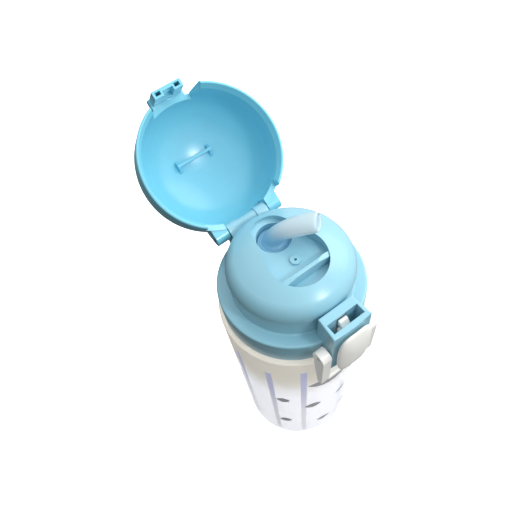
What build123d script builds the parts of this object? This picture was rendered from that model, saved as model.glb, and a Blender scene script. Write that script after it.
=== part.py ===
from build123d import *
import os
from math import sqrt

# Flip-lid straw bottle, in millimetres.
# The origin is the centre of the base, +Z is up, the latch faces -Y and the hinge +Y.
# The lid is built closed and then turned open about its hinge.

# ---- driving dimensions ----
SHOULDER_Z = 168.0  # top face of the cap's collar above the base
COLLAR_RADIUS = 38.0
COLLAR_HEIGHT = 17.2
COLLAR_BORE = 34.7
SHOULDER_THICKNESS = 2.2

BODY_TOP_RADIUS = 39.6
BODY_FOOT_RADIUS = 35.7
BODY_WALL = 1.9
BODY_TOP_Z = SHOULDER_Z - COLLAR_HEIGHT - 1.0

NECK_RADIUS = 31.0
NECK_BORE = 28.3
NECK_TOP_Z = SHOULDER_Z - 6.0
THREAD_PITCH = 6.0
THREAD_START_Z = BODY_TOP_Z + 3.8
THREAD_ROOT_HALF = 1.1
THREAD_CREST_HALF = 0.6
NECK_THREAD_CREST = 32.2
LINER_THREAD_CREST = 31.4
LINER_BORE = 32.8
LINER_RADIUS = 34.4

DOME_FOOT_RADIUS = 31.0
DOME_RADIUS = 31.8
DOME_WALL_HEIGHT = 13.0
DOME_RISE = 16.2
DOME_WALL = 2.0
DOME_CROWN = 52.0  # radius of the dome's top
DOME_TRIM = 0.7

RECESS_FRONT_Y = -6.0
RECESS_FRONT_RADIUS = 14.8
RECESS_BACK_Y = 15.5
RECESS_BACK_RADIUS = 9.1
RECESS_FLOOR = 21.3
RECESS_FRONT_FLOOR = 19.8
RECESS_WALL = 1.6

SOCKET_Y = 12.6
SOCKET_RADIUS = 8.7
SOCKET_FLOOR = 15.0
STEM_HOLE_RADIUS = 5.0
VENT_Y = -4.2
BAR_FRONT_Y = -14.0
BAR_BACK_Y = -11.6
BAR_TOP = 26.4

SPOUT_DISC_TOP = 18.5
SPOUT_STEM_RADIUS = 4.2
SPOUT_PIVOT_HEIGHT = 27.0
SPOUT_LENGTH = 23.4
SPOUT_OPEN = Vector(0.641, -0.641, 0.423).normalized()
SPOUT_FOLDED = Vector(0, -1, 0.052).normalized()
SPOUT_HALF_WIDTH = 5.6

HINGE_Y = 36.6
HINGE_HEIGHT = 10.5
LID_OPEN_ANGLE = 144.4
PIN_RADIUS = 1.1
KNUCKLE_RADIUS = 3.7
KNUCKLE_INNER_X = 5.5
KNUCKLE_OUTER_X = 12.0
BARREL_RADIUS = 3.1
SPRING_BORE = 2.6
SPRING_ROOM = 5.2
EAR_INNER_X = 12.6
EAR_OUTER_X = 20.0

BLOCK_HALF_WIDTH = 11.0
BLOCK_BACK_HALF_WIDTH = 9.9
BLOCK_BACK_Y = -32.2
BLOCK_FRONT_Y = -44.4
BLOCK_BULGE = 0.7
BLOCK_TOP = 17.0
BLOCK_BOTTOM = -16.0
SLOT_HALF_WIDTH = 8.75
SLOT_BACK_Y = -37.0
SLOT_FRONT_Y = -42.2
SLOT_FLOOR = 0.2

BUTTON_TRAVEL = 1.3
BUTTON_HALF_WIDTH = 9.8
BUTTON_TOP = 15.6
BUTTON_BOTTOM = -20.0
BUTTON_BACK_Y = BLOCK_FRONT_Y - BUTTON_TRAVEL - 0.2
BUTTON_EDGE_Y = -47.6
BUTTON_CROWN_Y = -50.2
CATCH_HALF_WIDTH = 2.4
CATCH_TOP = 14.0

RING_PIVOT_Y = -41.0
RING_PIVOT_HEIGHT = -3.0
RING_LUG_RADIUS = 3.9
RING_INNER_X = 11.5
RING_OUTER_X = 16.6
RING_CROSS_HEIGHT = -29.1
RING_CROSS_Y = -42.6
RING_CROSS_HALF = 1.7

LID_RIM_RADIUS = 37.2
LID_INNER_RADIUS = 34.3
LID_WALL_HEIGHT = 14.0
LID_RISE = 25.5
LID_INNER_RISE = 23.0
LID_CROWN = 62.0
LID_INNER_CROWN = 59.0
LID_GAP = 0.4  # rim to shoulder when shut
LID_FLARE = 2.0  # how far the hollow widens at the rim, to pass the dome as the lid turns

STRAW_RADIUS = 3.5
STRAW_BOTTOM_Z = 9.0


def up(height):
    """Z of a height measured from the collar's shoulder."""
    return SHOULDER_Z + height


def dome_outline(radius, rise, crown_radius, base_z):
    """Quarter outline of a dome, from its wall up to its top: a side arc and a crown arc."""
    side_radius = (radius**2 + rise**2 - 2 * rise * crown_radius) / (2 * (radius - crown_radius))
    lean = (radius - side_radius) / (crown_radius - side_radius)
    fall = sqrt(1 - lean**2)
    joint = (crown_radius * lean, base_z + rise - crown_radius * (1 - fall))
    TangentArc((radius, base_z), joint, tangent=(0, 1))
    TangentArc(joint, (0, base_z + rise), tangent=(-fall, lean))


def save(part, name):
    part.label = name
    export_step(part, f"parts/{name}.step")


os.makedirs("parts", exist_ok=True)


# ---- threads: one start, trapezoid section, neck outside and liner inside ----
def thread(root, crest, start_z, turns):
    """A helical ridge between two radii; its root sinks a little into the wall."""
    with BuildPart() as ridge:
        with BuildLine() as path:
            Helix(THREAD_PITCH, THREAD_PITCH * turns, root, center=(0, 0, start_z))
        start = Plane(origin=path.line @ 0, x_dir=(1, 0, 0), z_dir=path.line % 0)
        with BuildSketch(start):
            with BuildLine():
                Polyline(
                    (0, -THREAD_ROOT_HALF),
                    (crest - root, -THREAD_CREST_HALF),
                    (crest - root, THREAD_CREST_HALF),
                    (0, THREAD_ROOT_HALF),
                    close=True,
                )
            make_face()
        sweep(is_frenet=True)
    return ridge.part


neck_thread = thread(NECK_RADIUS - 0.2, NECK_THREAD_CREST, THREAD_START_Z, 1.15)
liner_thread = thread(LINER_BORE + 0.2, LINER_THREAD_CREST, THREAD_START_Z, 1.0)
liner_thread = liner_thread.rotate(Axis.Z, 180)


# ---- bottle body: thin frosted shell, wide threaded neck, raised base ----
with BuildPart() as bottle_body:
    with BuildSketch(Plane.XZ):
        with BuildLine():
            FilletPolyline(
                (0, 0),
                (20, 0),
                (21.5, 0.9),
                (26.5, 0.9),
                (28, 0),
                (BODY_FOOT_RADIUS - 0.6, 0),
                (BODY_TOP_RADIUS, BODY_TOP_Z),
                (NECK_RADIUS, BODY_TOP_Z),
                (NECK_RADIUS, NECK_TOP_Z),
                (NECK_BORE, NECK_TOP_Z),
                (NECK_BORE, BODY_TOP_Z - 2.4),
                (BODY_TOP_RADIUS - BODY_WALL, BODY_TOP_Z - 4.0),
                (BODY_FOOT_RADIUS - 0.6 - BODY_WALL, 3.6),
                (0, 3.6),
                radius=[0.6, 0.6, 0.6, 0.6, 5, 1.2, 0.8, 0.6, 0.6, 1.5, 2.5, 4],
            )
            Line((0, 3.6), (0, 0))
        make_face()
    revolve(axis=Axis.Z)
    add(neck_thread)
save(bottle_body.part, "bottle_body")

# ---- neck gasket: soft ring between the neck's rim and the liner's flange ----
GASKET_BOTTOM = NECK_TOP_Z + 0.25
GASKET_TOP = NECK_TOP_Z + 1.85
with BuildPart() as neck_gasket:
    with BuildSketch(Plane.XY.offset(GASKET_BOTTOM)):
        Circle(LINER_BORE - 0.5)
        Circle(NECK_BORE + 0.5, mode=Mode.SUBTRACT)
    extrude(amount=GASKET_TOP - GASKET_BOTTOM)
save(neck_gasket.part, "neck_gasket")

# ---- cap liner: inner sleeve with the thread, a flange over the gasket and a raised deck ----
FLANGE_BOTTOM = GASKET_TOP + 0.2
FLANGE_TOP = up(-SHOULDER_THICKNESS) - 0.1
DECK_BOTTOM = up(6.0)
DECK_TOP = DECK_BOTTOM + 1.6
DECK_RADIUS = 28.6
with BuildPart() as cap_liner:
    with BuildSketch(Plane.XZ):
        with BuildLine():
            Polyline(
                (0, DECK_BOTTOM),
                (DECK_RADIUS - 1.6, DECK_BOTTOM),
                (DECK_RADIUS - 1.6, FLANGE_BOTTOM),
                (LINER_BORE, FLANGE_BOTTOM),
                (LINER_BORE, BODY_TOP_Z + 1.4),
                (LINER_RADIUS, BODY_TOP_Z + 1.4),
                (LINER_RADIUS, FLANGE_TOP),
                (DECK_RADIUS, FLANGE_TOP),
                (DECK_RADIUS, DECK_TOP),
                (0, DECK_TOP),
                close=True,
            )
        make_face()
    revolve(axis=Axis.Z)
    add(liner_thread)
    with Locations(Location((0, SOCKET_Y, DECK_TOP))):
        Hole(STEM_HOLE_RADIUS)
    with Locations(Location((0, VENT_Y, DECK_TOP))):
        Hole(1.2)
save(cap_liner.part, "cap_liner")


# ---- cap shell: collar, shoulder, dome with its recess, hinge knuckles and latch housing ----
# solid form a little inside the dome's surface, which trims what is built under it
with BuildPart() as dome_core:
    with BuildSketch(Plane.XZ):
        with BuildLine():
            Polyline(
                (0, up(DOME_WALL_HEIGHT + DOME_RISE - DOME_TRIM)),
                (0, up(-1)),
                (DOME_FOOT_RADIUS - DOME_TRIM, up(-1)),
                (DOME_RADIUS - DOME_TRIM, up(DOME_WALL_HEIGHT)),
            )
            dome_outline(
                DOME_RADIUS - DOME_TRIM,
                DOME_RISE - DOME_TRIM,
                DOME_CROWN - DOME_TRIM,
                up(DOME_WALL_HEIGHT),
            )
        make_face()
    revolve(axis=Axis.Z)


def recess_outline(grow):
    """Sketch of the recess seen from above: a pear of two round ends."""
    with BuildSketch() as outline:
        with Locations((0, RECESS_FRONT_Y)):
            Circle(RECESS_FRONT_RADIUS + grow)
        with Locations((0, RECESS_BACK_Y)):
            Circle(RECESS_BACK_RADIUS + grow)
        make_hull()
    return outline.sketch


# tub under the dome: recess wall and floor, spout socket and vent skirt
with BuildPart() as recess_tub:
    with BuildSketch(Plane.XY.offset(up(RECESS_FRONT_FLOOR - RECESS_WALL))):
        add(recess_outline(RECESS_WALL))
    extrude(amount=DOME_RISE)
    with BuildSketch(Plane.XY.offset(up(SOCKET_FLOOR - RECESS_WALL))):
        with Locations((0, SOCKET_Y)):
            Circle(SOCKET_RADIUS + RECESS_WALL)
        with Locations((0, VENT_Y)):
            Circle(4.6)
    extrude(until=Until.NEXT)
    add(dome_core.part, mode=Mode.INTERSECT)

# bar across the front of the recess
with BuildPart() as recess_bar:
    with BuildSketch(Plane.XY.offset(up(RECESS_FRONT_FLOOR - 1))):
        with Locations((0, (BAR_FRONT_Y + BAR_BACK_Y) / 2)):
            Rectangle(2 * RECESS_FRONT_RADIUS, BAR_BACK_Y - BAR_FRONT_Y)
    extrude(amount=BAR_TOP - RECESS_FRONT_FLOOR + 1)
    fillet(recess_bar.edges().group_by(Axis.Z)[-1].filter_by(Axis.X), 0.7)
    add(dome_core.part, mode=Mode.INTERSECT)

# a knuckle's side outline: round about the hinge, standing on the shoulder
with BuildSketch(Plane.YZ.offset(-KNUCKLE_OUTER_X)) as knuckle_outline:
    with Locations((HINGE_Y, up(HINGE_HEIGHT))):
        Circle(KNUCKLE_RADIUS)
    with Locations((DOME_FOOT_RADIUS - 2.7, up(4.0))):
        Rectangle(1.5, 10, align=(Align.MIN, Align.CENTER))
    with Locations((DOME_FOOT_RADIUS + 4.0, up(-1.0))):
        Rectangle(2.5, 1.5)
    make_hull()


# barrel between the knuckles, round the spring, with a web to the dome
with BuildSketch(Plane.YZ.offset(-KNUCKLE_INNER_X)) as barrel_outline:
    with Locations((HINGE_Y, up(HINGE_HEIGHT))):
        Circle(BARREL_RADIUS)
    with Locations((DOME_FOOT_RADIUS - 1.3, up(6.0))):
        Rectangle(0.8, 5, align=(Align.MIN, Align.CENTER))
    make_hull()

# plan of the latch housing: sides that spread a little towards a bowed front
with BuildSketch() as block_outline:
    with BuildLine():
        Polyline(
            (BLOCK_HALF_WIDTH, BLOCK_FRONT_Y),
            (BLOCK_BACK_HALF_WIDTH, BLOCK_BACK_Y),
            (-BLOCK_BACK_HALF_WIDTH, BLOCK_BACK_Y),
            (-BLOCK_HALF_WIDTH, BLOCK_FRONT_Y),
        )
        ThreePointArc(
            (-BLOCK_HALF_WIDTH, BLOCK_FRONT_Y),
            (0, BLOCK_FRONT_Y - BLOCK_BULGE),
            (BLOCK_HALF_WIDTH, BLOCK_FRONT_Y),
        )
    make_face()

# latch housing: on the shoulder and down over the collar, with rounded top edges
with BuildPart() as latch_block:
    with BuildSketch(Plane.XY.offset(up(BLOCK_BOTTOM))):
        add(block_outline.sketch)
        Circle(COLLAR_RADIUS - 1.2, mode=Mode.SUBTRACT)
    extrude(amount=-BLOCK_BOTTOM)
    with BuildSketch(Plane.XY.offset(up(-1.0))):
        add(block_outline.sketch)
    extrude(amount=BLOCK_TOP + 1.0)
    fillet(latch_block.edges().group_by(Axis.Z)[-1], 0.7)


with BuildPart() as cap_shell:
    # collar, shoulder and dome in one turn about the axis
    with BuildSketch(Plane.XZ):
        with BuildLine():
            FilletPolyline(
                (COLLAR_BORE, up(-SHOULDER_THICKNESS)),
                (COLLAR_BORE, up(-COLLAR_HEIGHT)),
                (COLLAR_RADIUS - 0.6, up(-COLLAR_HEIGHT)),
                (COLLAR_RADIUS, up(0)),
                (DOME_FOOT_RADIUS, up(0)),
                (DOME_RADIUS, up(DOME_WALL_HEIGHT)),
                radius=[0.3, 0.8, 1.2, 0.8],
            )
            dome_outline(DOME_RADIUS, DOME_RISE, DOME_CROWN, up(DOME_WALL_HEIGHT))
            Line((0, up(DOME_WALL_HEIGHT + DOME_RISE)), (0, up(DOME_WALL_HEIGHT + DOME_RISE - DOME_WALL)))
            dome_outline(
                DOME_RADIUS - DOME_WALL,
                DOME_RISE - DOME_WALL,
                DOME_CROWN - DOME_WALL,
                up(DOME_WALL_HEIGHT),
            )
            Polyline(
                (DOME_RADIUS - DOME_WALL, up(DOME_WALL_HEIGHT)),
                (DOME_FOOT_RADIUS - DOME_WALL, up(-SHOULDER_THICKNESS)),
                (COLLAR_BORE, up(-SHOULDER_THICKNESS)),
            )
        make_face()
    revolve(axis=Axis.Z)
    add(recess_tub.part)
    # the recess itself, deeper in front of the bar
    with BuildSketch(Plane.XY.offset(up(RECESS_FLOOR))):
        add(recess_outline(0))
    extrude(amount=DOME_RISE, mode=Mode.SUBTRACT)
    with BuildSketch(Plane.XY.offset(up(RECESS_FRONT_FLOOR))):
        add(recess_outline(-0.4))
        with Locations((0, BAR_BACK_Y)):
            Rectangle(60, 60, align=(Align.CENTER, Align.MIN), mode=Mode.SUBTRACT)
    extrude(amount=DOME_RISE, mode=Mode.SUBTRACT)
    # spout socket and vent boss
    with BuildSketch(Plane.XY.offset(up(SOCKET_FLOOR))):
        with Locations((0, SOCKET_Y)):
            Circle(SOCKET_RADIUS)
    extrude(amount=DOME_RISE, mode=Mode.SUBTRACT)
    with BuildSketch(Plane.XY.offset(up(RECESS_FLOOR - 1))):
        with Locations((0, VENT_Y)):
            Circle(2.6)
    extrude(amount=2.2)
    with BuildSketch(Plane.XY.offset(up(SOCKET_FLOOR - 3))):
        with Locations((0, SOCKET_Y)):
            Circle(STEM_HOLE_RADIUS)
        with Locations((0, VENT_Y)):
            Circle(0.7)
    extrude(amount=DOME_RISE, mode=Mode.SUBTRACT)
    with BuildSketch(Plane.XY.offset(up(SOCKET_FLOOR - 3))):
        with Locations((0, VENT_Y)):
            Circle(3.3)
    extrude(amount=RECESS_FLOOR - 1.6 - SOCKET_FLOOR + 3, mode=Mode.SUBTRACT)
    add(recess_bar.part)
    # a knuckle on each side of the spring's barrel
    extrude(knuckle_outline.sketch, amount=KNUCKLE_OUTER_X - KNUCKLE_INNER_X)
    mirror(
        extrude(knuckle_outline.sketch, amount=KNUCKLE_OUTER_X - KNUCKLE_INNER_X, mode=Mode.PRIVATE),
        about=Plane.YZ,
    )
    extrude(barrel_outline.sketch, amount=2 * KNUCKLE_INNER_X)
    with BuildSketch(Plane.YZ.offset(-SPRING_ROOM)):
        with Locations((HINGE_Y, up(HINGE_HEIGHT))):
            Circle(SPRING_BORE)
    extrude(amount=2 * SPRING_ROOM, mode=Mode.SUBTRACT)
    with BuildSketch(Plane.YZ.offset(-EAR_OUTER_X)):
        with Locations((HINGE_Y, up(HINGE_HEIGHT))):
            Circle(PIN_RADIUS)
    extrude(amount=2 * EAR_OUTER_X, mode=Mode.SUBTRACT)
    add(latch_block.part)
    # slot for the lid's tongue, the pocket behind it for the catch, and the way in for its arm
    with BuildSketch(Plane.XY.offset(up(SLOT_FLOOR))):
        with Locations((0, (SLOT_BACK_Y + SLOT_FRONT_Y) / 2)):
            Rectangle(2 * SLOT_HALF_WIDTH, SLOT_BACK_Y - SLOT_FRONT_Y)
    extrude(amount=BLOCK_TOP, mode=Mode.SUBTRACT)
    with BuildSketch(Plane.XY.offset(up(SLOT_FLOOR))):
        with Locations((0, SLOT_BACK_Y + 0.9)):
            Rectangle(2 * CATCH_HALF_WIDTH + 1.2, 3.4)
    extrude(amount=BLOCK_TOP - 1.8 - SLOT_FLOOR, mode=Mode.SUBTRACT)
    with BuildSketch(Plane.XY.offset(up(SLOT_FLOOR))):
        with Locations((0, BLOCK_FRONT_Y)):
            Rectangle(8.4, 6)
    extrude(amount=4.4, mode=Mode.SUBTRACT)
    # pivot holes of the lock ring
    with BuildSketch(Plane.YZ.offset(-BLOCK_HALF_WIDTH - 1)):
        with Locations((RING_PIVOT_Y, up(RING_PIVOT_HEIGHT))):
            Circle(1.5)
    extrude(amount=2 * BLOCK_HALF_WIDTH + 2, mode=Mode.SUBTRACT)
save(cap_shell.part, "cap_shell")

# ---- hinge pin and the spring that throws the lid open ----
with BuildPart() as hinge_pin:
    with BuildSketch(Plane.YZ.offset(-EAR_OUTER_X)):
        with Locations((HINGE_Y, up(HINGE_HEIGHT))):
            Circle(PIN_RADIUS)
    extrude(amount=2 * EAR_OUTER_X)
    chamfer(hinge_pin.edges(), 0.2)
save(hinge_pin.part, "hinge_pin")

SPRING_WIRE = 0.4
SPRING_COIL_RADIUS = 2.0
with BuildPart() as hinge_spring:
    with BuildLine() as coil:
        Helix(
            1.1,
            8.8,
            SPRING_COIL_RADIUS,
            center=(-4.4, HINGE_Y, up(HINGE_HEIGHT)),
            direction=(1, 0, 0),
        )
    with BuildSketch(Plane(origin=coil.line @ 0, z_dir=coil.line % 0)):
        Circle(SPRING_WIRE)
    sweep(is_frenet=True)
save(hinge_spring.part, "hinge_spring")

# ---- spout: soft base in the socket and a soft mouthpiece that folds down under the lid ----
SPOUT_BASE_TOP = SPOUT_PIVOT_HEIGHT - 3.95
SPOUT_BORE = 2.0
with BuildPart() as spout_base:
    with BuildSketch(Plane.XY.offset(up(SOCKET_FLOOR) + 0.05)):
        with Locations((0, SOCKET_Y)):
            Circle(SOCKET_RADIUS - 0.1)
    extrude(amount=SPOUT_DISC_TOP - SOCKET_FLOOR - 0.05)
    fillet(spout_base.edges().group_by(Axis.Z)[-1], 1.0)
    with BuildSketch(Plane.XY.offset(up(SPOUT_DISC_TOP) - 0.5)):
        with Locations((0, SOCKET_Y)):
            Circle(SPOUT_STEM_RADIUS)
    extrude(amount=SPOUT_BASE_TOP - SPOUT_DISC_TOP + 0.5)
    with BuildSketch(Plane.XY.offset(DECK_BOTTOM - 5)):
        with Locations((0, SOCKET_Y)):
            Circle(STEM_HOLE_RADIUS - 0.1)
    extrude(until=Until.NEXT)
    with Locations(Location((0, SOCKET_Y, up(SPOUT_BASE_TOP)))):
        Hole(SPOUT_BORE)
    with BuildSketch(Plane.XY.offset(DECK_BOTTOM - 5)):
        with Locations((0, SOCKET_Y)):
            Circle(STRAW_RADIUS + 0.03)
    extrude(amount=9, mode=Mode.SUBTRACT)
save(spout_base.part, "spout_base")

fold_axis = SPOUT_OPEN.cross(SPOUT_FOLDED).normalized()
fold_angle = SPOUT_OPEN.get_angle(SPOUT_FOLDED)
spout_pivot = Vector(0, SOCKET_Y, up(SPOUT_PIVOT_HEIGHT))

# sections of the mouthpiece along its length: distance, half width, half thickness
SPOUT_SECTIONS = [(0, 3.5, 3.4), (4, 4.0, 3.6), (9, 5.1, 3.8), (SPOUT_LENGTH, SPOUT_HALF_WIDTH, 3.4)]
folded_plane = Plane(origin=spout_pivot, x_dir=(1, 0, 0), z_dir=SPOUT_FOLDED)
with BuildPart() as spout_folded:
    for distance, half_width, half_thickness in SPOUT_SECTIONS:
        with BuildSketch(folded_plane.offset(distance)):
            Ellipse(half_width, half_thickness)
    loft()
    fillet(spout_folded.faces().sort_by(Axis.Y)[0].edges(), 1.0)
    with Locations(Location(spout_pivot)):
        Sphere(3.3)
    for distance, width_share in ((-5, 0.55), (4, 0.55), (SPOUT_LENGTH + 1, 0.6)):
        with BuildSketch(folded_plane.offset(distance)):
            Ellipse(SPOUT_HALF_WIDTH * width_share * 0.7, SPOUT_BORE * 0.9)
    loft(mode=Mode.SUBTRACT)
spout_tip = spout_folded.part.rotate(Axis(spout_pivot, fold_axis), -fold_angle)
save(spout_tip, "spout_tip")

# ---- straw: hangs from the spout base to just above the bottle's floor ----
with BuildPart() as drinking_straw:
    with BuildSketch(Plane.XY.offset(STRAW_BOTTOM_Z)):
        with Locations((0, SOCKET_Y)):
            Circle(STRAW_RADIUS)
            Circle(STRAW_RADIUS - 0.9, mode=Mode.SUBTRACT)
    extrude(amount=DECK_BOTTOM + 3.5 - STRAW_BOTTOM_Z)
save(drinking_straw.part, "drinking_straw")

# ---- vent valve: small soft plug that lets air in as the user drinks ----
with BuildPart() as vent_valve:
    with BuildSketch(Plane.XY.offset(up(SOCKET_FLOOR))):
        with Locations((0, VENT_Y)):
            Circle(3.2)
    extrude(amount=RECESS_FLOOR - 1.75 - SOCKET_FLOOR)
    with BuildSketch(Plane.XY.offset(up(SOCKET_FLOOR - 2.5))):
        with Locations((0, VENT_Y)):
            Circle(1.6)
    extrude(until=Until.NEXT)
    with Locations(Location((0, VENT_Y, up(RECESS_FLOOR)))):
        Hole(0.5)
save(vent_valve.part, "vent_valve")

# ---- push button: bowed plate in front, arm under the tongue, upright catch behind it ----
BUTTON_MIDDLE = up((BUTTON_TOP + BUTTON_BOTTOM) / 2)

# the plate seen from above: a crescent that follows the housing's front
with BuildPart() as button_plan:
    with BuildSketch(Plane.XY.offset(up(BUTTON_BOTTOM))):
        with BuildLine():
            ThreePointArc(
                (-BUTTON_HALF_WIDTH, BUTTON_EDGE_Y),
                (0, BUTTON_CROWN_Y),
                (BUTTON_HALF_WIDTH, BUTTON_EDGE_Y),
            )
            Line((BUTTON_HALF_WIDTH, BUTTON_EDGE_Y), (BUTTON_HALF_WIDTH, BUTTON_BACK_Y))
            ThreePointArc(
                (BUTTON_HALF_WIDTH, BUTTON_BACK_Y),
                (0, BUTTON_BACK_Y - BLOCK_BULGE),
                (-BUTTON_HALF_WIDTH, BUTTON_BACK_Y),
            )
            Line((-BUTTON_HALF_WIDTH, BUTTON_BACK_Y), (-BUTTON_HALF_WIDTH, BUTTON_EDGE_Y))
        make_face()
    extrude(amount=BUTTON_TOP - BUTTON_BOTTOM)

# the plate seen from the side: crowned, thinner at the top and bottom
with BuildPart() as button_side:
    with BuildSketch(Plane.YZ.offset(-BUTTON_HALF_WIDTH)):
        with BuildLine():
            Line((BUTTON_BACK_Y + 1, up(BUTTON_BOTTOM)), (BUTTON_EDGE_Y - 0.6, up(BUTTON_BOTTOM)))
            ThreePointArc(
                (BUTTON_EDGE_Y - 0.6, up(BUTTON_BOTTOM)),
                (BUTTON_CROWN_Y, BUTTON_MIDDLE),
                (BUTTON_EDGE_Y - 0.6, up(BUTTON_TOP)),
            )
            Line((BUTTON_EDGE_Y - 0.6, up(BUTTON_TOP)), (BUTTON_BACK_Y + 1, up(BUTTON_TOP)))
            Line((BUTTON_BACK_Y + 1, up(BUTTON_TOP)), (BUTTON_BACK_Y + 1, up(BUTTON_BOTTOM)))
        make_face()
    extrude(amount=2 * BUTTON_HALF_WIDTH)

with BuildPart() as push_button:
    with BuildSketch(Plane.XZ.offset(-BUTTON_BACK_Y - 1)):
        with BuildLine():
            FilletPolyline(
                (BUTTON_HALF_WIDTH, up(BUTTON_BOTTOM)),
                (BUTTON_HALF_WIDTH, up(BUTTON_TOP)),
                (-BUTTON_HALF_WIDTH, up(BUTTON_TOP)),
                (-BUTTON_HALF_WIDTH, up(BUTTON_BOTTOM)),
                radius=[9.0, 5.0, 5.0, 9.0],
                close=True,
            )
        make_face()
    extrude(amount=BUTTON_BACK_Y + 2 - BUTTON_CROWN_Y, both=True)
    add(button_plan.part, mode=Mode.INTERSECT)
    add(button_side.part, mode=Mode.INTERSECT)
    # arm through the housing's window
    with BuildSketch(Plane.XY.offset(up(0.7))):
        with Locations((0, BUTTON_BACK_Y - 2)):
            Rectangle(7.2, SLOT_BACK_Y - 1.6 - BUTTON_BACK_Y + 2, align=(Align.CENTER, Align.MIN))
    extrude(amount=2.8)
    # upright catch with a sloped nose that holds the tongue
    with BuildSketch(Plane.YZ.offset(-CATCH_HALF_WIDTH)):
        with BuildLine():
            Polyline(
                (SLOT_BACK_Y - 0.1, up(0.7)),
                (SLOT_BACK_Y - 0.1, up(CATCH_TOP)),
                (SLOT_BACK_Y - 1.5, up(CATCH_TOP)),
                (SLOT_BACK_Y - 4.0, up(10.6)),
                (SLOT_BACK_Y - 4.0, up(9.3)),
                (SLOT_BACK_Y - 2.4, up(9.3)),
                (SLOT_BACK_Y - 2.4, up(0.7)),
                close=True,
            )
        make_face()
    extrude(amount=2 * CATCH_HALF_WIDTH)
    # seat for the return spring in the catch's back
    with BuildSketch(Plane.XZ.offset(-SLOT_BACK_Y)):
        with Locations((0, up(8.0))):
            Circle(1.8)
    extrude(amount=1.6, mode=Mode.SUBTRACT)
save(push_button.part, "push_button")

# ---- return spring of the button, between the catch and the housing's back wall ----
with BuildPart() as button_spring:
    with BuildLine() as turns:
        Helix(
            0.6,
            0.9,
            1.2,
            center=(0, SLOT_BACK_Y + 0.35, up(8.0)),
            direction=(0, 1, 0),
        )
    with BuildSketch(Plane(origin=turns.line @ 0, z_dir=turns.line % 0)):
        Circle(0.22)
    sweep(is_frenet=True)
save(button_spring.part, "button_spring")

# ---- lock ring: swings up over the lid's hood so that it can't open in a bag ----
with BuildSketch(Plane.YZ.offset(RING_INNER_X)) as ring_arm:
    with Locations((RING_PIVOT_Y, up(RING_PIVOT_HEIGHT))):
        Circle(RING_LUG_RADIUS)
    with Locations((RING_CROSS_Y, up(RING_CROSS_HEIGHT))):
        Circle(RING_CROSS_HALF)
    make_hull()
    with Locations((RING_PIVOT_Y, up(RING_PIVOT_HEIGHT))):
        Circle(1.05, mode=Mode.SUBTRACT)

with BuildPart() as lock_ring:
    extrude(ring_arm.sketch, amount=RING_OUTER_X - RING_INNER_X)
    mirror(about=Plane.YZ)
    with BuildSketch(Plane.YZ.offset(-RING_INNER_X - 0.5)):
        with Locations((RING_CROSS_Y, up(RING_CROSS_HEIGHT))):
            RectangleRounded(2 * RING_CROSS_HALF + 0.8, 2 * RING_CROSS_HALF, 1.2)
    extrude(amount=2 * RING_INNER_X + 1)
save(lock_ring.part, "lock_ring")

# ---- two stub pins that carry the lock ring, in the housing's side walls ----
with BuildPart() as ring_pins:
    for side in (-1, 1):
        with BuildSketch(Plane.YZ.offset(side * (RING_OUTER_X + BLOCK_HALF_WIDTH - 3) / 2)):
            with Locations((RING_PIVOT_Y, up(RING_PIVOT_HEIGHT))):
                Circle(1.0)
        extrude(amount=(RING_OUTER_X - BLOCK_HALF_WIDTH + 2.6) / 2, both=True)
save(ring_pins.part, "ring_pins")

# ---- flip lid, built shut ----
# side outline of a hinge ear, from the pin to the lid's wall
with BuildSketch(Plane.YZ.offset(EAR_INNER_X)) as ear_outline:
    with Locations((HINGE_Y, up(HINGE_HEIGHT))):
        Circle(KNUCKLE_RADIUS)
    with Locations((HINGE_Y - 6.5, up(HINGE_HEIGHT + 1.5))):
        Rectangle(5, 9)
    make_hull()

# outer form of the lid, solid, with a rounded rim
with BuildPart() as lid_form:
    with BuildSketch(Plane.XZ):
        with BuildLine():
            FilletPolyline(
                (0, up(LID_GAP)),
                (LID_RIM_RADIUS, up(LID_GAP)),
                (LID_RIM_RADIUS, up(LID_WALL_HEIGHT)),
                radius=0.9,
            )
            dome_outline(LID_RIM_RADIUS, LID_RISE, LID_CROWN, up(LID_WALL_HEIGHT))
            Line((0, up(LID_WALL_HEIGHT + LID_RISE)), (0, up(LID_GAP)))
        make_face()
    revolve(axis=Axis.Z)

# hollow of the lid, solid, flared a little at the rim
with BuildPart() as lid_hollow:
    with BuildSketch(Plane.XZ):
        with BuildLine():
            Polyline(
                (0, up(LID_GAP - 1)),
                (LID_INNER_RADIUS + LID_FLARE, up(LID_GAP - 1)),
                (LID_INNER_RADIUS, up(LID_GAP + 3.5)),
                (LID_INNER_RADIUS, up(LID_WALL_HEIGHT)),
            )
            dome_outline(LID_INNER_RADIUS, LID_INNER_RISE, LID_INNER_CROWN, up(LID_WALL_HEIGHT))
            Line((0, up(LID_WALL_HEIGHT + LID_INNER_RISE)), (0, up(LID_GAP - 1)))
        make_face()
    revolve(axis=Axis.Z)

NOTCH_TOP = BLOCK_TOP + 0.5
NOTCH_TOP_HALF = 11.5
NOTCH_FOOT_HALF = 14.5
HOOD_TOP = 21.0
HOOD_FRONT_Y = -42.0
TONGUE_BOTTOM = 7.0
TONGUE_BACK_Y = -37.6
TONGUE_FRONT_Y = -41.8
RIB_HALF_WIDTH = 10.0
RIB_Y = -7.0
RIB_THICKNESS = 1.6
RIB_EDGE = 32.0
RIB_TOP = 36.6
WEB_THICKNESS = 1.4

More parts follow.
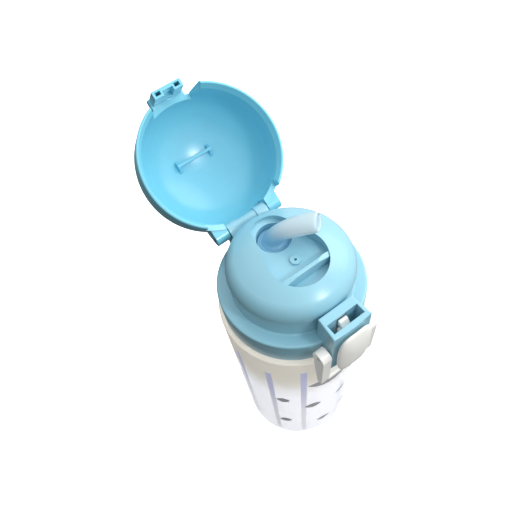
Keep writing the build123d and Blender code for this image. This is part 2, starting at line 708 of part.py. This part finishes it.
# rib that presses on the folded mouthpiece, with a web at each end; its top sinks into the lid
with BuildPart() as lid_rib:
    with BuildSketch(Plane.XY.offset(up(RIB_EDGE))):
        with Locations((0, RIB_Y)):
            Rectangle(2 * RIB_HALF_WIDTH, RIB_THICKNESS)
    extrude(amount=RIB_TOP - RIB_EDGE)
    for side in (-1, 1):
        with BuildSketch(Plane.YZ.offset(side * RIB_HALF_WIDTH - WEB_THICKNESS / 2)):
            with BuildLine():
                Polyline(
                    (RIB_Y - 0.8, up(RIB_EDGE)),
                    (RIB_Y - 4.5, up(RIB_TOP)),
                    (RIB_Y + 4.5, up(RIB_TOP)),
                    (RIB_Y + 0.8, up(RIB_EDGE)),
                    close=True,
                )
            make_face()
        extrude(amount=WEB_THICKNESS)

with BuildPart() as flip_lid:
    add(lid_form.part)
    # hinge ears on both sides of the cap's knuckles
    extrude(ear_outline.sketch, amount=EAR_OUTER_X - EAR_INNER_X)
    mirror(extrude(ear_outline.sketch, amount=EAR_OUTER_X - EAR_INNER_X, mode=Mode.PRIVATE), about=Plane.YZ)
    # hood over the latch housing
    with BuildSketch(Plane.YZ.offset(-9.5)):
        with BuildLine():
            FilletPolyline(
                (-30, up(HOOD_TOP + 4)),
                (-30, up(NOTCH_TOP)),
                (HOOD_FRONT_Y, up(NOTCH_TOP)),
                (HOOD_FRONT_Y, up(HOOD_TOP)),
                (-34, up(HOOD_TOP + 0.2)),
                radius=[0, 0.4, 1.2],
            )
            Line((-34, up(HOOD_TOP + 0.2)), (-30, up(HOOD_TOP + 4)))
        make_face()
    extrude(amount=19)
    add(lid_hollow.part, mode=Mode.SUBTRACT)
    # openings in the rim: in front for the housing, behind for the knuckles
    with BuildSketch(Plane.XZ.offset(21)):
        with BuildLine():
            Polyline(
                (-NOTCH_FOOT_HALF, up(-1)),
                (-NOTCH_TOP_HALF, up(NOTCH_TOP)),
                (NOTCH_TOP_HALF, up(NOTCH_TOP)),
                (NOTCH_FOOT_HALF, up(-1)),
                close=True,
            )
        make_face()
    extrude(amount=30, mode=Mode.SUBTRACT)
    with BuildSketch(Plane.XY.offset(up(-1))):
        with Locations((0, 36)):
            Rectangle(2 * EAR_INNER_X, 20)
    extrude(amount=HINGE_HEIGHT + 7.5, mode=Mode.SUBTRACT)
    with BuildSketch(Plane.XY.offset(up(-1))):
        with Locations((0, 36)):
            Rectangle(2 * EAR_OUTER_X + 4, 24)
    extrude(amount=HINGE_HEIGHT - KNUCKLE_RADIUS - 0.2 + 1, mode=Mode.SUBTRACT)
    # bore for the hinge pin
    with BuildSketch(Plane.YZ.offset(-EAR_OUTER_X)):
        with Locations((HINGE_Y, up(HINGE_HEIGHT))):
            Circle(PIN_RADIUS + 0.08)
    extrude(amount=2 * EAR_OUTER_X, mode=Mode.SUBTRACT)
    # tongue that drops into the slot, with a channel and a window for the catch
    with BuildSketch(Plane.XY.offset(up(TONGUE_BOTTOM))):
        with Locations((0, (TONGUE_BACK_Y + TONGUE_FRONT_Y) / 2)):
            Rectangle(16.6, TONGUE_BACK_Y - TONGUE_FRONT_Y)
    extrude(amount=NOTCH_TOP + 0.5 - TONGUE_BOTTOM)
    with BuildSketch(Plane.XY.offset(up(TONGUE_BOTTOM))):
        with Locations((0, TONGUE_BACK_Y)):
            Rectangle(6, 4.4)
        with Locations((-5.5, TONGUE_BACK_Y - 2.1), (5.5, TONGUE_BACK_Y - 2.1)):
            Rectangle(3, 2)
    extrude(amount=8.1, mode=Mode.SUBTRACT)
    with BuildSketch(Plane.XY.offset(up(8.7))):
        with Locations((0, TONGUE_FRONT_Y + 1)):
            Rectangle(6, 4)
    extrude(amount=3.8, mode=Mode.SUBTRACT)
    add(lid_rib.part)

hinge_line = Axis((0, HINGE_Y, up(HINGE_HEIGHT)), (1, 0, 0))
save(flip_lid.part.rotate(hinge_line, -LID_OPEN_ANGLE), "flip_lid")
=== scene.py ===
from math import copysign, cos, degrees, pi, radians, sin

import bmesh
import bpy
from mathutils import Euler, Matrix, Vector


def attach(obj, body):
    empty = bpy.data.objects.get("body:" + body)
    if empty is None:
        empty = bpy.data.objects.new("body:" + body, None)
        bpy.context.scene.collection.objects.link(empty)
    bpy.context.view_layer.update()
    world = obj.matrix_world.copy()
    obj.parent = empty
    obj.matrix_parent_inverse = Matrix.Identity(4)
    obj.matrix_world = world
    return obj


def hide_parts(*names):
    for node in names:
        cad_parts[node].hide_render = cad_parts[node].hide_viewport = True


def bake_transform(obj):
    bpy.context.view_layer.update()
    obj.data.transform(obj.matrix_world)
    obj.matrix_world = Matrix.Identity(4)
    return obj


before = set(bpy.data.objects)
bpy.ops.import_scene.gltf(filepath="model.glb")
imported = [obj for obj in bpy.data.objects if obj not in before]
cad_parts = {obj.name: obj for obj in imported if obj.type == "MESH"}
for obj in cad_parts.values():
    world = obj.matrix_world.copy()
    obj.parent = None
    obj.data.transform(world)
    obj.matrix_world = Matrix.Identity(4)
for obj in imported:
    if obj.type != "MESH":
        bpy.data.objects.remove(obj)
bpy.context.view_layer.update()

scene = bpy.context.scene
scene.view_settings.view_transform = "Standard"

# ---- places, in metres, from the CAD ----
SHOULDER_Z = 0.168
SOCKET = Vector((0, 0.0126, SHOULDER_Z))
SPOUT_PIVOT = Vector((0, 0.0126, SHOULDER_Z + 0.0270))
SPOUT_DIRECTION = Vector((0.641, -0.641, 0.423)).normalized()
SPOUT_LENGTH = 0.0237
BODY_FOOT_RADIUS = 0.0351
BODY_TOP_RADIUS = 0.0396
BODY_TOP_Z = 0.1498


# ---- materials ----
def srgb(r, g, b):
    """Linear colour of a screen colour given as 0 to 255."""
    def channel(v):
        v /= 255
        return v / 12.92 if v <= 0.04045 else ((v + 0.055) / 1.055) ** 2.4
    return (channel(r), channel(g), channel(b), 1)


def scaled(colour, factor):
    return tuple(min(1, c * factor) for c in colour[:3]) + (1,)


def moulded(name, colour, rough=0.3, mottle=0.03, patch=0.012, grain=0.0007, depth=0.00001,
            wear=0.015, top_colour=None, **sockets):
    """Moulded plastic: faint colour mottle, uneven gloss, fine surface grain."""
    material = bpy.data.materials.new(name)
    material.use_nodes = True
    nodes, links = material.node_tree.nodes, material.node_tree.links
    shader = nodes["Principled BSDF"]
    place = nodes.new("ShaderNodeTexCoord")

    cloud = nodes.new("ShaderNodeTexNoise")
    cloud.inputs["Scale"].default_value = 1 / patch
    cloud.inputs["Detail"].default_value = 3
    links.new(place.outputs["Object"], cloud.inputs["Vector"])
    tint = nodes.new("ShaderNodeValToRGB")
    tint.color_ramp.elements[0].position = 0.15
    tint.color_ramp.elements[0].color = scaled(colour, 1 - mottle)
    tint.color_ramp.elements[1].position = 0.85
    tint.color_ramp.elements[1].color = scaled(colour, 1 + mottle)
    links.new(cloud.outputs["Fac"], tint.inputs["Fac"])
    links.new(tint.outputs["Color"], shader.inputs["Base Color"])

    # handling marks: soft patches that are a little less glossy
    marks = nodes.new("ShaderNodeTexNoise")
    marks.inputs["Scale"].default_value = 60
    marks.inputs["Detail"].default_value = 1
    links.new(place.outputs["Object"], marks.inputs["Vector"])
    gloss = nodes.new("ShaderNodeMapRange")
    gloss.inputs["From Min"].default_value = 0.1
    gloss.inputs["From Max"].default_value = 0.9
    gloss.inputs["To Min"].default_value = rough - wear
    gloss.inputs["To Max"].default_value = min(1, rough + wear)
    links.new(marks.outputs["Fac"], gloss.inputs["Value"])
    links.new(gloss.outputs["Result"], shader.inputs["Roughness"])

    fine = nodes.new("ShaderNodeTexNoise")
    fine.inputs["Scale"].default_value = 1 / grain
    fine.inputs["Detail"].default_value = 2
    links.new(place.outputs["Object"], fine.inputs["Vector"])
    bump = nodes.new("ShaderNodeBump")
    bump.inputs["Strength"].default_value = 0.06
    bump.inputs["Distance"].default_value = depth
    links.new(fine.outputs["Fac"], bump.inputs["Height"])
    links.new(bump.outputs["Normal"], shader.inputs["Normal"])

    # top_colour paints light and shade by height. It blends a colour in between two heights and also uses it
    # as the glow colour. On the body it is painted shade under the collar. On the mouthpiece it is a painted
    # pale highlight on the elbow and tip. On the stripes it makes them lavender towards the top.
    if top_colour:
        height = nodes.new("ShaderNodeSeparateXYZ")
        links.new(place.outputs["Object"], height.inputs["Vector"])
        share = nodes.new("ShaderNodeMapRange")
        share.interpolation_type = "SMOOTHSTEP"
        share.inputs["From Min"].default_value = top_colour[1]
        share.inputs["From Max"].default_value = top_colour[2]
        links.new(height.outputs["Z"], share.inputs["Value"])
        shade = nodes.new("ShaderNodeMix")
        shade.data_type = "RGBA"
        links.new(share.outputs["Result"], shade.inputs["Factor"])
        links.new(tint.outputs["Color"], shade.inputs["A"])
        shade.inputs["B"].default_value = top_colour[0]
        links.new(shade.outputs["Result"], shader.inputs["Base Color"])
        links.new(shade.outputs["Result"], shader.inputs["Emission Color"])

    for socket, value in sockets.items():
        shader.inputs[socket.replace("_", " ")].default_value = value
    return material


cap_blue = moulded("cap_blue", srgb(140, 194, 212), rough=0.26, Coat_Weight=0.25, Coat_Roughness=0.3)
# The lid is the cap's plastic given a brighter, more cyan blue. This is painted light standing in for the
# light that bounces inside the open lid.
lid_blue = moulded("lid_blue", srgb(124, 204, 226), rough=0.24)
# The white parts glow faintly (emission 0.12). This is painted light that brightens them, though they are no
# lamp.
button_white = moulded("button_white", srgb(236, 236, 232), rough=0.34,
                       Emission_Color=srgb(236, 236, 232), Emission_Strength=0.12)
# Body: a warm grey painted shade under the collar, blended in from 0.088 to 0.128 m high. It also has a glow
# (emission 0.36, in the same colours) that brightens the whole body, though the body is no lamp.
body_frost = moulded(
    "body_frost", srgb(233, 234, 237), rough=0.42, mottle=0.012, depth=0.00002,
    top_colour=(srgb(204, 201, 193), 0.088, 0.128),
    Transmission_Weight=0.4, IOR=1.45, Emission_Strength=0.36,
)
# Mouthpiece: a painted pale highlight over the elbow and tip, blended in from 0.190 to 0.202 m high. It also
# has a faint glow (emission 0.08), though it is no lamp.
silicone = moulded(
    "silicone", srgb(142, 198, 226), rough=0.3, mottle=0.01,
    top_colour=(srgb(214, 232, 238), 0.190, 0.202), Transmission_Weight=0.4, IOR=1.41, Emission_Strength=0.08,
)
valve_silicone = moulded("valve_silicone", srgb(214, 232, 240), rough=0.45)
liner_white = moulded("liner_white", srgb(238, 240, 241), rough=0.4)
straw_plastic = moulded("straw_plastic", srgb(230, 234, 238), rough=0.3, Transmission_Weight=0.3)
steel = moulded("steel", srgb(150, 152, 156), rough=0.25, grain=0.0002, Metallic=1.0)
pin_dark = moulded("pin_dark", srgb(84, 80, 76), rough=0.5, grain=0.0002, Metallic=0.6)
# Stripes: lavender towards the top. They glow (emission 0.42), which is painted light that brightens them,
# though they are no lamp.
stripe_print = moulded("stripe_print", srgb(228, 230, 237), rough=0.5, mottle=0.02, patch=0.006,
                       top_colour=(srgb(184, 187, 214), 0.045, 0.125), Emission_Strength=0.42)
# Leaves glow (emission 0.25), which is painted light that brightens them, though they are no lamp.
leaf_print = moulded("leaf_print", srgb(158, 158, 163), rough=0.5, mottle=0.14, patch=0.002,
                     Emission_Color=srgb(158, 158, 163), Emission_Strength=0.25)

for node, material in {
    "bottle_body": body_frost,
    "neck_gasket": valve_silicone,
    "cap_liner": liner_white,
    "cap_shell": cap_blue,
    "flip_lid": lid_blue,
    "hinge_pin": steel,
    "hinge_spring": steel,
    "button_spring": steel,
    "ring_pins": pin_dark,
    "drinking_straw": straw_plastic,
    "vent_valve": valve_silicone,
    "push_button": button_white,
    "lock_ring": button_white,
}.items():
    for material_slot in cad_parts[node].material_slots:
        material_slot.material = material


# ---- making pieces ----
def linked(name, mesh, material, smooth=True):
    """Object in the scene from a finished bmesh, with its faces turned outwards."""
    bmesh.ops.recalc_face_normals(mesh, faces=mesh.faces)
    data = bpy.data.meshes.new(name)
    mesh.to_mesh(data)
    mesh.free()
    data.materials.append(material)
    if smooth:
        data.shade_smooth()
    piece = bpy.data.objects.new(name, data)
    scene.collection.objects.link(piece)
    return piece


# ---- soft mouthpiece: one skin from the socket, round the elbow, to the open tip ----
def tube(name, rings, material):
    """Closed skin through rings of points; the last ring joins the first."""
    mesh = bmesh.new()
    rows = [[mesh.verts.new(point) for point in ring] for ring in rings]
    for a, b in zip(rows, rows[1:] + rows[:1]):
        for i in range(len(a)):
            j = (i + 1) % len(a)
            mesh.faces.new((a[i], a[j], b[j], b[i]))
    piece = linked(name, mesh, material)
    smooth = piece.modifiers.new("smooth", "SUBSURF")
    smooth.levels = smooth.render_levels = 2
    return piece


def ellipse_ring(centre, along, half_width, half_thickness, count=24):
    """Points round an ellipse square to a direction; its width lies level."""
    level = Vector((-SPOUT_DIRECTION.y, SPOUT_DIRECTION.x, 0)).normalized()
    across = (level - along * level.dot(along)).normalized()
    upright = along.cross(across)
    return [
        centre + across * half_width * cos(2 * pi * i / count)
        + upright * half_thickness * sin(2 * pi * i / count)
        for i in range(count)
    ]


def spout_line(t):
    """Centre and direction of the mouthpiece: upright out of the socket, then over to the tip."""
    start = SOCKET + Vector((0, 0, 0.0200))
    bend = SPOUT_PIVOT + Vector((0, 0, 0.0010))
    end = SPOUT_PIVOT + SPOUT_DIRECTION * SPOUT_LENGTH
    place = start * (1 - t) ** 2 + bend * 2 * t * (1 - t) + end * t ** 2
    along = ((bend - start) * (1 - t) + (end - bend) * t).normalized()
    return place, along


UP = Vector((0, 0, 1))
# foot disc with shallow bellows rings, height above the shoulder and radius
outer = [
    ellipse_ring(SOCKET + Vector((0, 0, height)), UP, radius, radius)
    for height, radius in (
        (0.0154, 0.0084),
        (0.0176, 0.0084),
        (0.0183, 0.0081),
        (0.0179, 0.0074),
        (0.0187, 0.0071),
        (0.0184, 0.0063),
        (0.0194, 0.0059),
        (0.0199, 0.0050),
    )
]
for t, width, thickness in (
    (0.08, 0.0046, 0.0046),
    (0.18, 0.0044, 0.0044),
    (0.30, 0.0044, 0.0042),
    (0.42, 0.0047, 0.0040),
    (0.55, 0.0052, 0.0039),
    (0.70, 0.0056, 0.0037),
    (0.84, 0.0057, 0.0036),
    (0.95, 0.0057, 0.0035),
    (0.985, 0.0055, 0.0033),
    (1.00, 0.0049, 0.0027),
):
    outer.append(ellipse_ring(*spout_line(t), width, thickness))
inner = []
for t, width, thickness in (
    (0.985, 0.0043, 0.0021),
    (0.88, 0.0040, 0.0020),
    (0.65, 0.0036, 0.0021),
    (0.38, 0.0029, 0.0026),
    (0.12, 0.0028, 0.0028),
):
    inner.append(ellipse_ring(*spout_line(t), width, thickness))
inner.append(ellipse_ring(SOCKET + Vector((0, 0, 0.0154)), UP, 0.0028, 0.0028))
mouthpiece = tube("mouthpiece", outer + inner, silicone)
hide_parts("spout_base", "spout_tip")
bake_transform(mouthpiece)


# ---- push button: one pillowed plate, with the arm and catch behind it ----
BUTTON_CENTRE = Vector((0, 0, SHOULDER_Z - 0.0022))
BUTTON_HALF = (0.0098, 0.0178)
BUTTON_BACK_Y = -0.0459
BUTTON_BOW = 0.0007  # how far the back bows forward, as the housing's front does


def button_ring(share, y, bow=0.0, count=64):
    """Rounded outline of the button at a share of its size; bow brings its middle forward."""
    points = []
    for i in range(count):
        a = 2 * pi * i / count
        power = 0.62 if sin(a) > 0 else 0.78  # squarer corners at the top
        x = copysign(abs(cos(a)) ** 0.55, cos(a))
        z = copysign(abs(sin(a)) ** power, sin(a))
        depth = y - bow * (1 - (share * x) ** 2)
        points.append(BUTTON_CENTRE + Vector((BUTTON_HALF[0] * share * x, depth, BUTTON_HALF[1] * share * z)))
    return points


def capped(name, rings, material, smooth):
    """Closed skin through rings of points, with a flat face on each end."""
    mesh = bmesh.new()
    rows = [[mesh.verts.new(point) for point in ring] for ring in rings]
    for a, b in zip(rows, rows[1:]):
        for i in range(len(a)):
            j = (i + 1) % len(a)
            mesh.faces.new((a[i], a[j], b[j], b[i]))
    mesh.faces.new(rows[0])
    mesh.faces.new(rows[-1])
    return linked(name, mesh, material, smooth)


button_plate = capped(
    "button_plate",
    [
        button_ring(share, BUTTON_BACK_Y, BUTTON_BOW)
        for share in (0.10, 0.30, 0.50, 0.70, 0.85, 0.96)
    ]
    + [
        button_ring(share, y, bow)
        for share, y, bow in (
            (0.99, -0.0462, 0.0007),
            (1.00, -0.0466, 0.0005),
            (1.00, -0.0471, 0.0003),
            (0.985, -0.0475, 0.0002),
            (0.95, -0.0479, 0.0001),
            (0.88, -0.0484, 0.0),
            (0.76, -0.0490, 0.0),
            (0.60, -0.0495, 0.0),
            (0.42, -0.0499, 0.0),
            (0.24, -0.05013, 0.0),
            (0.08, -0.0502, 0.0),
        )
    ],
    button_white,
    smooth=True,
)
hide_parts("push_button")
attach(button_plate, "button")


def prism(name, profile, half_width, material, bevel):
    """Side outline of (y, z above the shoulder) points, as wide as twice half_width, edges rounded."""
    rings = [
        [Vector((x, y, SHOULDER_Z + z)) for y, z in profile]
        for x in (-half_width, half_width)
    ]
    piece = capped(name, rings, material, smooth=False)
    rounding = piece.modifiers.new("rounding", "BEVEL")
    rounding.width = bevel
    rounding.segments = 3
    return piece


for name, profile, half_width in (
    ("button_arm", [(-0.0463, 0.0007), (-0.0386, 0.0007), (-0.0386, 0.0035), (-0.0463, 0.0035)], 0.0036),
    ("button_catch", [
        (-0.0371, 0.0007),
        (-0.0371, 0.0060),
        (-0.0388, 0.0060),
        (-0.0388, 0.0100),
        (-0.0371, 0.0100),
        (-0.0371, 0.0140),
        (-0.0385, 0.0140),
        (-0.0410, 0.0106),
        (-0.0410, 0.0093),
        (-0.0394, 0.0093),
        (-0.0394, 0.0007),
    ], 0.0024),
):
    piece = prism(name, profile, half_width, button_white, 0.0003)
    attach(piece, "button")


# ---- print on the body: thin patches that follow its slight taper ----
PRINT_HEIGHT = 0.00008
STRIPE_RADIUS = 0.0375  # body radius that a stripe's width is measured on
LEAF_RADIUS = 0.0378  # body radius that a leaf's length is measured on


def on_body(azimuth, z):
    """Point just off the body. Azimuth in degrees from the front towards +X."""
    radius = BODY_FOOT_RADIUS + (BODY_TOP_RADIUS - BODY_FOOT_RADIUS) * z / BODY_TOP_Z + PRINT_HEIGHT
    a = radians(azimuth)
    return Vector((radius * sin(a), -radius * cos(a), z))


def printed(name, strips, material):
    """One piece of print from strips; a strip is rows of (azimuth, z) points."""
    mesh = bmesh.new()
    for rows in strips:
        grid = [[mesh.verts.new(on_body(*point)) for point in row] for row in rows]
        for a, b in zip(grid, grid[1:]):
            for i in range(len(a) - 1):
                mesh.faces.new((a[i], a[i + 1], b[i + 1], b[i]))
    piece = linked(name, mesh, material)
    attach(piece, "bottle")
    return piece


def stripe(azimuth, top, bottom, width=0.0034, count=30):
    """Upright band, four facets across."""
    half = degrees(width / 2 / STRIPE_RADIUS)
    rows = []
    for i in range(count + 1):
        z = top + (bottom - top) * i / count
        rows.append([(azimuth + half * k, z) for k in (-1, -0.5, 0, 0.5, 1)])
    return rows


def leaf(azimuth, z, length, height, slope=0.0, teeth=6):
    """Feather shape, pointed at both ends, with shallow notches along its lower edge."""
    rows = []
    count = 36
    for i in range(count + 1):
        t = i / count
        swell = sin(pi * t) ** 0.75
        notch = 1 - 0.12 * abs(sin(pi * teeth * t))
        low = -height * 0.5 * swell * notch - 0.00002
        high = height * 0.5 * swell + 0.00002
        rise = (t - 0.5) * length * slope
        degrees_along = degrees((t - 0.5) * length / LEAF_RADIUS)
        rows.append([
            (azimuth + degrees_along, z + rise + low + (high - low) * k / 4)
            for k in range(5)
        ])
    return rows


stripes = [
    stripe(azimuth, SHOULDER_Z + top, SHOULDER_Z + bottom)
    for azimuth, top, bottom in (
        (-87, -0.033, -0.153),
        (-58, -0.036, -0.155),
        (-30, -0.031, -0.157),
        (11, -0.084, -0.157),
        (40, -0.036, -0.155),
        (70, -0.042, -0.152),
        (100, -0.034, -0.155),
        (130, -0.040, -0.153),
        (160, -0.033, -0.157),
        (190, -0.038, -0.155),
        (220, -0.034, -0.152),
        (246, -0.040, -0.156),
    )
]
printed("body_stripes", stripes, stripe_print)

leaves = [
    leaf(azimuth, SHOULDER_Z + z, length, height, slope)
    for azimuth, z, length, height, slope in (
        (-7.5, -0.056, 0.0250, 0.0110, 0.0),
        (-21, -0.097, 0.0110, 0.0090, 0.1),
        (11, -0.098, 0.0100, 0.0050, -0.1),
        (-7.5, -0.140, 0.0110, 0.0066, 0.0),
        (-49, -0.083, 0.0085, 0.0085, 0.1),
        (-49, -0.130, 0.0090, 0.0085, 0.2),
        (-100, -0.085, 0.0080, 0.0060, 0.4),
        (22, -0.137, 0.0120, 0.0044, 0.1),
        (55, -0.060, 0.0220, 0.0090, 0.0),
        (56, -0.118, 0.0110, 0.0056, 0.1),
        (85, -0.092, 0.0110, 0.0056, 0.1),
        (116, -0.058, 0.0220, 0.0090, 0.0),
        (114, -0.130, 0.0110, 0.0050, 0.1),
        (145, -0.100, 0.0110, 0.0056, 0.1),
        (175, -0.062, 0.0220, 0.0090, 0.0),
        (176, -0.128, 0.0110, 0.0050, 0.1),
        (205, -0.095, 0.0110, 0.0056, 0.1),
        (234, -0.060, 0.0220, 0.0090, 0.0),
        (232, -0.126, 0.0110, 0.0050, 0.1),
    )
]
printed("body_leaves", leaves, leaf_print)


# ---- stage ----
floor_data = bpy.data.meshes.new("floor")
floor_mesh = bmesh.new()
bmesh.ops.create_grid(floor_mesh, x_segments=8, y_segments=8, size=3)
floor_mesh.to_mesh(floor_data)
floor_mesh.free()
floor = bpy.data.objects.new("floor", floor_data)
floor.location.z = -0.0002
floor_data.materials.append(moulded(
    "floor_white", srgb(252, 252, 252), rough=0.9, mottle=0.002,
    Emission_Color=(1, 1, 1, 1), Emission_Strength=0.5,
))
scene.collection.objects.link(floor)
floor.visible_diffuse = False
floor.visible_glossy = False

# soft surround: brighter overhead and to the right, dimmer below and to the left
world = bpy.data.worlds.new("studio")
world.use_nodes = True
sky, sky_links = world.node_tree.nodes, world.node_tree.links
towards = sky.new("ShaderNodeTexCoord")
slant = sky.new("ShaderNodeVectorMath")
slant.operation = "DOT_PRODUCT"
slant.inputs[1].default_value = (0.62, 0.05, 0.78)
sky_links.new(towards.outputs["Generated"], slant.inputs[0])
level = sky.new("ShaderNodeMapRange")
level.interpolation_type = "SMOOTHSTEP"
level.inputs["From Min"].default_value = -0.7
level.inputs["From Max"].default_value = 0.9
level.inputs["To Min"].default_value = 0.08
level.inputs["To Max"].default_value = 1.25
sky_links.new(slant.outputs["Value"], level.inputs["Value"])
sky_links.new(level.outputs["Result"], sky["Background"].inputs["Strength"])
sky["Background"].inputs["Color"].default_value = (1, 1, 1, 1)
scene.world = world


def area_light(name, place, target, size, power):
    data = bpy.data.lights.new(name, "AREA")
    data.shape = "DISK"
    data.size = size
    data.energy = power
    light = bpy.data.objects.new(name, data)
    light.location = place
    light.rotation_euler = (Vector(target) - Vector(place)).to_track_quat("-Z", "Y").to_euler()
    scene.collection.objects.link(light)


area_light("key", (1.2, 0.1, 1.25), (0, 0, 0.15), 1.4, 11.5)
area_light("front", (0.35, -1.1, 1.35), (0, 0.05, 0.18), 0.25, 7)

camera_data = bpy.data.cameras.new("camera")
camera_data.lens = 36.96
camera_data.sensor_width = 36
camera_data.clip_start = 0.01
camera = bpy.data.objects.new("camera", camera_data)
camera.location = (-0.0774, -0.1075, 0.3979)
camera.rotation_euler = Euler((radians(32.354), radians(4.718), radians(-36.303)))
scene.collection.objects.link(camera)
scene.camera = camera
